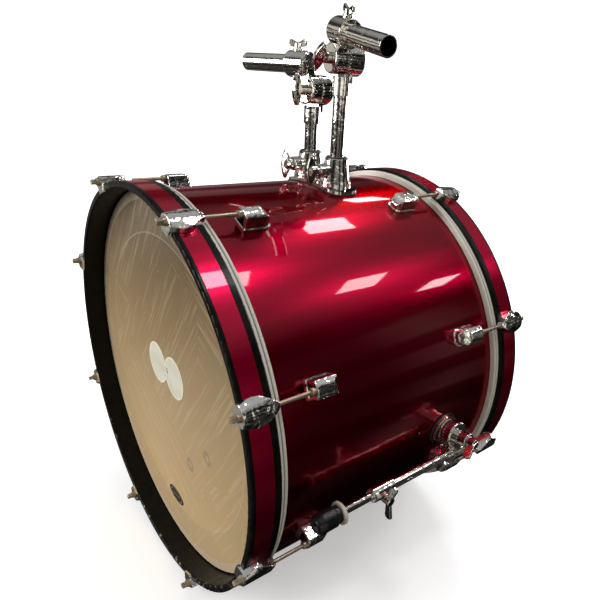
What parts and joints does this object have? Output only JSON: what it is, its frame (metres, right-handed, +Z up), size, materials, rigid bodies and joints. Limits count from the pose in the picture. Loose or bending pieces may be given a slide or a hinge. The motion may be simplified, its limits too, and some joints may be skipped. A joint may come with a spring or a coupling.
{
  "type": "bass drum",
  "caption": "Large drum lying on its side, with claw-hook tensioned heads, wooden hoops, two height-adjustable tom arms on top and folding telescopic spurs.",
  "frame": {"origin": "on the floor, under the middle of the drum: the centre of the footprint of the two hoops", "axes": "+Z up, +Y along the drum's axis towards the resonant head, so the batter (played) head faces -Y; +X to the right of a person facing the batter head"},
  "size_m": [0.698, 0.4976, 0.8105],
  "materials": {
    "wine_lacquer": "deep wine red gloss lacquer over maple",
    "black_lacquer": "gloss black lacquer",
    "red_inlay": "glossy wine red inlay strip",
    "clear_film": "clear polyester drum head",
    "white_film": "smooth white polyester drum head",
    "flesh_hoop": "satin rolled aluminium",
    "kick_pad": "pale grey-white pad with a cream edge, scuffed",
    "badge": "small plain dark oval label",
    "chrome": "bright chrome plate, lightly pitted",
    "bronze_steel": "tarnished plated steel, tan",
    "screw_steel": "zinc-plated steel",
    "gasket_rubber": "black rubber",
    "bush_nylon": "black nylon",
    "white_nylon": "off-white nylon",
    "foot_rubber": "black moulded rubber, satin"
  },
  "bodies": {
    "drum": {"shell": "wine_lacquer", "air_vent": "chrome", "batter_hoop": "black_lacquer", "batter_hoop_inlay": "red_inlay", "batter_head": "clear_film", "batter_flesh_hoop": "flesh_hoop", "resonant_hoop": "black_lacquer", "resonant_hoop_inlay": "red_inlay", "resonant_head": "white_film", "resonant_flesh_hoop": "flesh_hoop", "muffle_ring": "clear_film", "kick_patch": "kick_pad", "head_badge": "badge", "claw_hooks": "chrome", "lugs": "chrome", "tension_rods": "bronze_steel", "rod_washers": "bronze_steel", "swivel_nuts": "bronze_steel", "lug_screws": "screw_steel", "bracket_screws": "screw_steel", "tom_holder_gasket": "gasket_rubber", "tom_holder_plate": "chrome", "tom_receivers": "chrome", "spur_gaskets": "gasket_rubber", "right_spur_base": "chrome", "left_spur_base": "chrome"},
    "right_arm_bush": {"right_insert": "bush_nylon"},
    "right_arm_post": {"right_post": "chrome", "right_lower_tilter": "chrome"},
    "right_arm_tilter": {"right_upper_tilter": "chrome"},
    "right_arm_tube": {"right_arm_tube": "chrome"},
    "wing_right_receiver": {"wing_right_receiver": "chrome"},
    "wing_right_tilt": {"wing_right_tilt": "chrome"},
    "wing_right_clamp": {"wing_right_clamp": "chrome"},
    "right_spur": {"right_spur_swivel": "chrome", "right_spur_tube": "chrome", "right_spur_collar": "chrome"},
    "right_spur_leg": {"right_spur_rod": "chrome", "right_spur_lock_ring": "white_nylon", "right_spur_foot": "foot_rubber"},
    "wing_right_spur_swivel": {"wing_right_spur_swivel": "chrome"},
    "wing_right_spur_length": {"wing_right_spur_length": "chrome"},
    "left_arm_bush": {"left_insert": "bush_nylon"},
    "left_arm_post": {"left_post": "chrome", "left_lower_tilter": "chrome"},
    "left_arm_tilter": {"left_upper_tilter": "chrome"},
    "left_arm_tube": {"left_arm_tube": "chrome"},
    "wing_left_receiver": {"wing_left_receiver": "chrome"},
    "wing_left_tilt": {"wing_left_tilt": "chrome"},
    "wing_left_clamp": {"wing_left_clamp": "chrome"},
    "left_spur": {"left_spur_swivel": "chrome", "left_spur_tube": "chrome", "left_spur_collar": "chrome"},
    "left_spur_leg": {"left_spur_rod": "chrome", "left_spur_lock_ring": "white_nylon", "left_spur_foot": "foot_rubber"},
    "wing_left_spur_swivel": {"wing_left_spur_swivel": "chrome"},
    "wing_left_spur_length": {"wing_left_spur_length": "chrome"}
  },
  "joints": [
    {"name": "arm_right_turn", "type": "hinge", "parent": "drum", "child": "right_arm_bush", "pos_m": [0.033, 0.056, 0.595], "axis": [0, 0, 1], "range_deg": [-20, 60]},
    {"name": "arm_right_height", "type": "slide", "parent": "right_arm_bush", "child": "right_arm_post", "axis": [0, 0, 1], "range_m": [-0.08, 0.055]},
    {"name": "arm_right_tilt", "type": "hinge", "parent": "right_arm_post", "child": "right_arm_tilter", "pos_m": [0.033, 0.056, 0.745], "axis": [0.1392, 0.9903, 0], "range_deg": [-45, 40]},
    {"name": "arm_right_reach", "type": "slide", "parent": "right_arm_tilter", "child": "right_arm_tube", "axis": [0.9781, -0.1375, -0.1564], "range_m": [0, 0.016]},
    {"name": "wing_right_receiver_turn", "type": "hinge", "parent": "drum", "child": "wing_right_receiver", "pos_m": [0.033, 0.0216, 0.5955], "axis": [0, -1, 0], "range_deg": [-90, 90]},
    {"name": "wing_right_tilt_turn", "type": "hinge", "parent": "right_arm_tilter", "child": "wing_right_tilt", "pos_m": [0.03002, 0.03481, 0.745], "axis": [-0.1392, -0.9903, 0], "range_deg": [-90, 90]},
    {"name": "wing_right_clamp_turn", "type": "hinge", "parent": "right_arm_tilter", "child": "wing_right_clamp", "pos_m": [0.05918, 0.03919, 0.7956], "axis": [0.1549, -0.0218, 0.9877], "range_deg": [-90, 90]},
    {"name": "spur_right_swivel", "type": "hinge", "parent": "drum", "child": "right_spur", "pos_m": [0.2995, 0.09, 0.268], "axis": [0.9877, 0, 0.1564], "range_deg": [0, 120]},
    {"name": "spur_right_length", "type": "slide", "parent": "right_spur", "child": "right_spur_leg", "axis": [0, -1, 0], "range_m": [0, 0.06]},
    {"name": "wing_right_spur_swivel_turn", "type": "hinge", "parent": "right_spur", "child": "wing_right_spur_swivel", "pos_m": [0.32755, 0.09, 0.27244], "axis": [0.9877, 0, 0.1564], "range_deg": [-90, 90]},
    {"name": "wing_right_spur_length_turn", "type": "hinge", "parent": "right_spur", "child": "wing_right_spur_length", "pos_m": [0.32484, -0.062, 0.24737], "axis": [0.9962, 0, -0.0872], "range_deg": [-90, 90]},
    {"name": "arm_left_turn", "type": "hinge", "parent": "drum", "child": "left_arm_bush", "pos_m": [-0.033, 0.056, 0.595], "axis": [0, 0, 1], "range_deg": [-60, 20]},
    {"name": "arm_left_height", "type": "slide", "parent": "left_arm_bush", "child": "left_arm_post", "axis": [0, 0, 1], "range_m": [-0.037, 0.099]},
    {"name": "arm_left_tilt", "type": "hinge", "parent": "left_arm_post", "child": "left_arm_tilter", "pos_m": [-0.033, 0.056, 0.701], "axis": [-0.2588, 0.9659, 0], "range_deg": [-40, 40]},
    {"name": "arm_left_reach", "type": "slide", "parent": "left_arm_tilter", "child": "left_arm_tube", "axis": [-0.9658, -0.2588, -0.0175], "range_m": [0, 0.016]},
    {"name": "wing_left_receiver_turn", "type": "hinge", "parent": "drum", "child": "wing_left_receiver", "pos_m": [-0.033, 0.0216, 0.5955], "axis": [0, -1, 0], "range_deg": [-90, 90]},
    {"name": "wing_left_tilt_turn", "type": "hinge", "parent": "left_arm_tilter", "child": "wing_left_tilt", "pos_m": [-0.02746, 0.03533, 0.701], "axis": [0.2588, -0.9659, 0], "range_deg": [-90, 90]},
    {"name": "wing_left_clamp_turn", "type": "hinge", "parent": "left_arm_tilter", "child": "wing_left_clamp", "pos_m": [-0.04987, 0.03802, 0.75504], "axis": [-0.0169, -0.0045, 0.9998], "range_deg": [-90, 90]},
    {"name": "spur_left_swivel", "type": "hinge", "parent": "drum", "child": "left_spur", "pos_m": [-0.2995, 0.09, 0.268], "axis": [0.9877, 0, -0.1564], "range_deg": [0, 120]},
    {"name": "spur_left_length", "type": "slide", "parent": "left_spur", "child": "left_spur_leg", "axis": [0, -1, 0], "range_m": [0, 0.06]},
    {"name": "wing_left_spur_swivel_turn", "type": "hinge", "parent": "left_spur", "child": "wing_left_spur_swivel", "pos_m": [-0.32755, 0.09, 0.27244], "axis": [-0.9877, 0, 0.1564], "range_deg": [-90, 90]},
    {"name": "wing_left_spur_length_turn", "type": "hinge", "parent": "left_spur", "child": "wing_left_spur_length", "pos_m": [-0.32484, -0.062, 0.24737], "axis": [-0.9962, 0, -0.0872], "range_deg": [-90, 90]}
  ]
}
